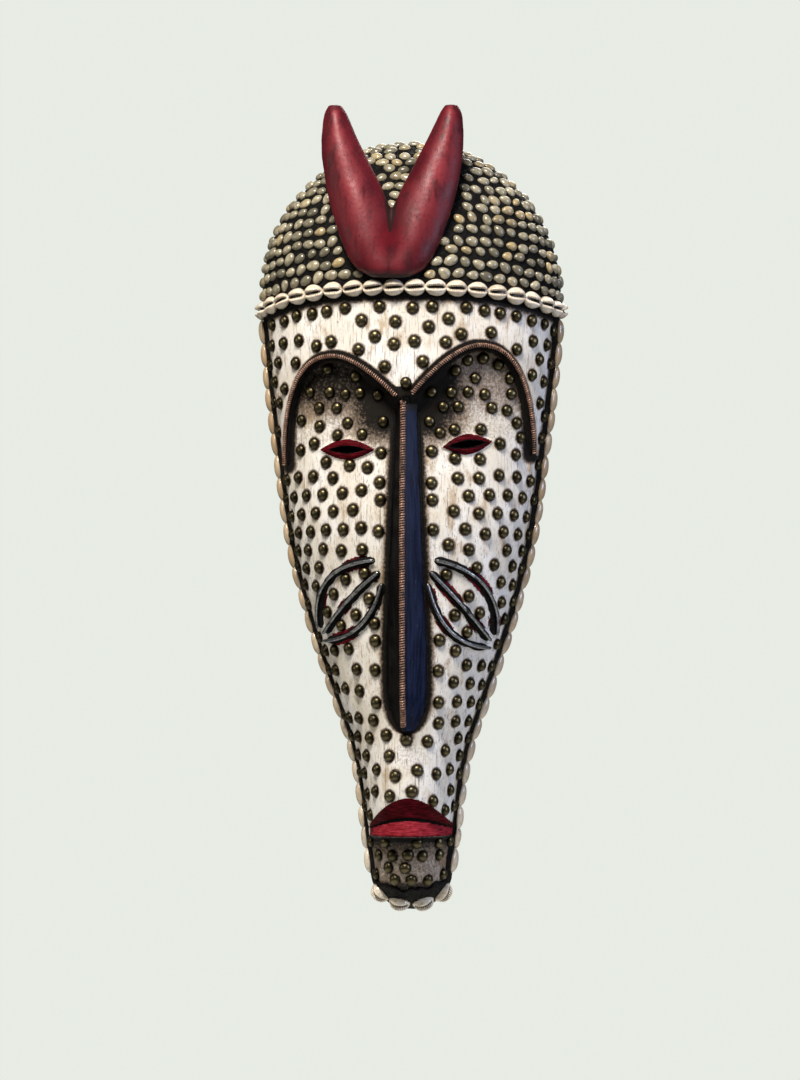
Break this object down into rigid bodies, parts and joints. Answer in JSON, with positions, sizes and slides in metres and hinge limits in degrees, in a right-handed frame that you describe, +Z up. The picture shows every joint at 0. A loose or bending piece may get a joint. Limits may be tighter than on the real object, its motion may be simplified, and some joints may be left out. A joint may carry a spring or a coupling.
{
  "type": "carved wooden wall mask",
  "caption": "Long carved wooden wall mask with a red horn crest, shell-covered cap, coiled wire brows, long nose, slit eyes and cowrie shells round its rim.",
  "frame": {"origin": "the point of the wall hook that the hanger wire rests on, on the wall plane", "axes": "+Z up towards the top of the head, +Y into the wall, +X to the viewer's right; the face looks along -Y"},
  "size_m": [0.274, 0.1073, 0.6993],
  "materials": {
    "white_wood": "white paint rubbed into carved wood, with dark patina in the grain",
    "black_lacquer": "smooth black lacquered wood with a navy sheen",
    "red_paint": "rubbed crimson paint on wood",
    "mastic": "gritty black resin mastic",
    "copper": "dark antique copper wire wound close",
    "steel": "dull grey wire",
    "tack_brass": "antique olive brass, polished at the crown",
    "shell": "glossy natural shell",
    "plain_wood": "bare wood"
  },
  "bodies": {
    "root": {"face_shell": "white_wood", "nose_wedge": "black_lacquer", "horn_crest": "red_paint", "cap_mastic": "mastic", "rim_mastic": "mastic", "brow_bed_left": "mastic", "nose_bed_left": "mastic", "cheek_bed_left": "mastic", "brow_coil_left": "copper", "cheek_wire_left_1": "steel", "cheek_wire_left_2": "steel", "cheek_wire_left_3": "steel", "cheek_tack_left": "tack_brass", "side_cowries_left": "shell", "hanger_nail_left": "steel", "horn_peg_left": "plain_wood", "brow_bed_right": "mastic", "nose_bed_right": "mastic", "cheek_bed_right": "mastic", "brow_coil_right": "copper", "cheek_wire_right_1": "steel", "cheek_wire_right_2": "steel", "cheek_wire_right_3": "steel", "cheek_tack_right": "tack_brass", "side_cowries_right": "shell", "hanger_nail_right": "steel", "horn_peg_right": "plain_wood", "nose_coil": "copper", "brow_tack": "tack_brass", "hanger_wire": "steel", "cap_cowrie_01": "shell", "cap_cowrie_02": "shell", "cap_cowrie_03": "shell", "cap_cowrie_04": "shell", "cap_cowrie_05": "shell", "cap_cowrie_06": "shell", "cap_cowrie_07": "shell", "cap_cowrie_08": "shell", "cap_cowrie_09": "shell", "cap_cowrie_10": "shell", "cap_cowrie_11": "shell", "cap_cowrie_12": "shell", "cap_cowrie_13": "shell", "cap_cowrie_14": "shell", "cap_cowrie_15": "shell", "cap_cowrie_16": "shell", "cap_cowrie_17": "shell", "cap_cowrie_18": "shell", "cap_cowrie_19": "shell", "cap_cowrie_20": "shell", "chin_cowrie_1": "shell", "chin_cowrie_2": "shell", "chin_cowrie_3": "shell", "chin_cowrie_4": "shell"}
  },
  "joints": []
}
